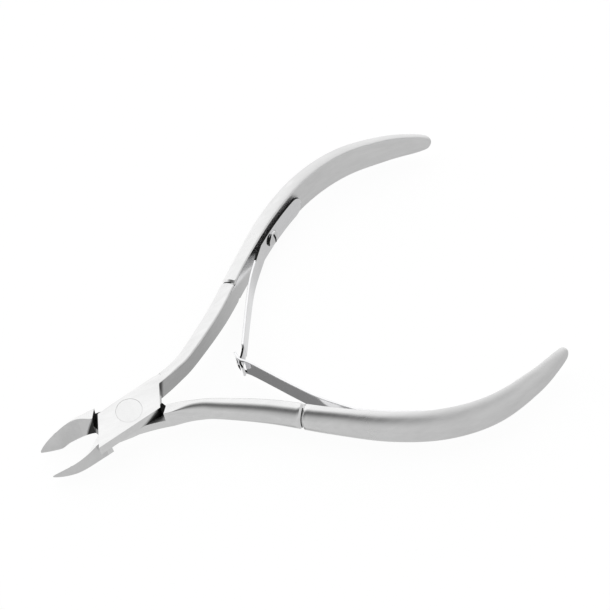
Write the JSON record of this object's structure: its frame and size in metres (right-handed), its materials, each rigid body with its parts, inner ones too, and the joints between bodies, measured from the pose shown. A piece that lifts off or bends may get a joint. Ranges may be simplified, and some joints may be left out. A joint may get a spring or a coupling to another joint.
{
  "type": "cuticle nipper",
  "caption": "Cuticle nipper with crossed forged halves on a riveted lap joint, short pointed jaws and hooked leaf springs that push the curved handles apart.",
  "frame": {"origin": "on the pivot axis, in the rear face of the lap joint", "axes": "+X from the pivot towards the handle ends along the line that halves the open angle, +Y towards the front half's handle, +Z along the pivot axis out of the front face"},
  "size_m": [0.1119, 0.0806, 0.009],
  "materials": {
    "satin_steel": "satin",
    "spring_steel": "polished",
    "screw_steel": "polished"
  },
  "bodies": {
    "front_half": {"front_half": "satin_steel", "pivot_rivet": "satin_steel", "upper_spring_foot": "spring_steel", "upper_spring_screw": "screw_steel"},
    "rear_half": {"rear_half": "satin_steel", "lower_spring_foot": "spring_steel", "lower_spring_screw": "screw_steel"},
    "upper_spring_arm": {"upper_spring_arm": "spring_steel"},
    "lower_spring_arm": {"lower_spring_arm": "spring_steel"}
  },
  "joints": [
    {"name": "jaw_pivot", "type": "hinge", "parent": "front_half", "child": "rear_half", "pos_m": [0, 0, 0.003], "axis": [0, 0, 1], "range_deg": [0, 18.5], "stiffness_Nm_per_rad": 0.4, "springref_deg": -2.86},
    {"name": "upper_spring_flex", "type": "hinge", "parent": "front_half", "child": "upper_spring_arm", "pos_m": [0.0435, 0.02445, 0.003], "axis": [0, 0, 1], "range_deg": [-11.6, 0]},
    {"name": "lower_spring_flex", "type": "hinge", "parent": "rear_half", "child": "lower_spring_arm", "pos_m": [0.0435, -0.02445, 0.003], "axis": [0, 0, 1], "range_deg": [0, 11.6]}
  ],
  "couplings": [
    {"joint": "upper_spring_flex", "follows": "jaw_pivot", "ratio": -0.62},
    {"joint": "lower_spring_flex", "follows": "jaw_pivot", "ratio": 0.62}
  ]
}
